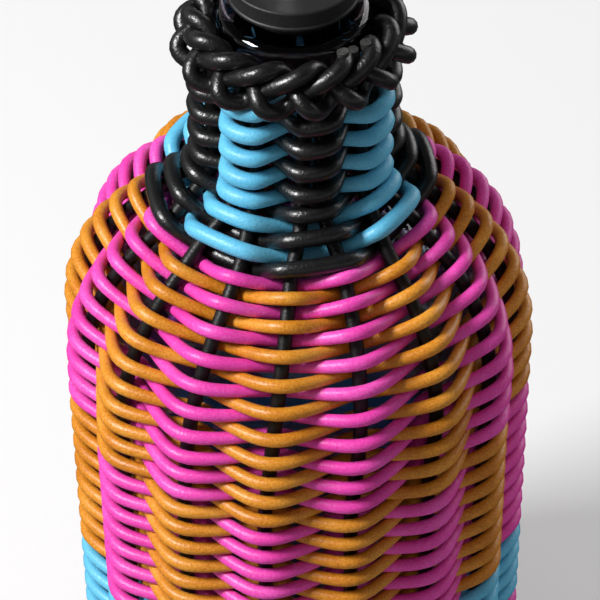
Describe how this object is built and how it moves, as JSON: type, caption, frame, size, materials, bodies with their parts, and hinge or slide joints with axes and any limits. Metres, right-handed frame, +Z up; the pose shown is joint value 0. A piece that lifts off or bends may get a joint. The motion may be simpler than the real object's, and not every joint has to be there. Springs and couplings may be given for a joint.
{
  "type": "oil pourer",
  "caption": "Glass oil bottle in a hand-woven cord sleeve with a plaited border, closed by a lift-out spout with a weighted flap.",
  "frame": {"origin": "centre of the foot, on the surface that the bottle stands on", "axes": "+Z up along the bottle's axis; +X the way the spout points; -Y the side that the picture shows"},
  "size_m": [0.098, 0.098, 0.2634],
  "materials": {
    "glass": "clear, polished",
    "stake_black": "satin, finely grained round cord",
    "cord_black": "satin, pebbled round cord",
    "cord_blue": "satin, finely grained round cord",
    "cord_magenta": "satin, finely grained round cord",
    "cord_orange": "satin, finely grained round cord",
    "plastic_black": "moulded, matte",
    "rubber_black": "moulded, dull",
    "steel": "bright, lightly brushed"
  },
  "bodies": {
    "bottle": {"band_blue_weaver": "cord_blue", "band_second_blue_weaver": "cord_blue", "base_rod_lower_1": "stake_black", "base_rod_lower_2": "stake_black", "base_rod_lower_3": "stake_black", "base_rod_lower_4": "stake_black", "base_rod_upper_1": "stake_black", "base_rod_upper_2": "stake_black", "base_rod_upper_3": "stake_black", "base_rod_upper_4": "stake_black", "base_second_weaver": "cord_black", "base_weaver": "cord_black", "foot_black_weaver": "cord_black", "foot_ring": "cord_black", "foot_second_black_weaver": "cord_black", "glass_bottle": "glass", "lower_magenta_weaver": "cord_magenta", "lower_orange_weaver": "cord_orange", "middle_magenta_weaver": "cord_magenta", "middle_orange_weaver": "cord_orange", "neck_black_weaver": "cord_black", "neck_blue_weaver": "cord_blue", "plaited_border": "cord_black", "stake_01": "stake_black", "stake_02": "stake_black", "stake_03": "stake_black", "stake_04": "stake_black", "stake_05": "stake_black", "stake_06": "stake_black", "stake_07": "stake_black", "stake_08": "stake_black", "stake_09": "stake_black", "stake_10": "stake_black", "stake_11": "stake_black", "stake_12": "stake_black", "stake_13": "stake_black", "stake_14": "stake_black", "stake_15": "stake_black", "stake_16": "stake_black", "upper_magenta_weaver": "cord_magenta", "upper_orange_weaver": "cord_orange"},
    "pourer": {"air_tube": "steel", "flap_collar": "steel", "flap_pin": "steel", "pour_spout": "steel", "pourer_flange": "plastic_black", "rubber_plug": "rubber_black"},
    "flap": {"flap_lid": "steel"}
  },
  "joints": [
    {"name": "pourer_lift", "type": "slide", "parent": "bottle", "child": "pourer", "axis": [0, 0, 1], "range_m": [0, 0.036]},
    {"name": "flap_hinge", "type": "hinge", "parent": "pourer", "child": "flap", "pos_m": [0.01275, 0, 0.25812], "axis": [0, -1, 0], "range_deg": [0, 70]}
  ]
}
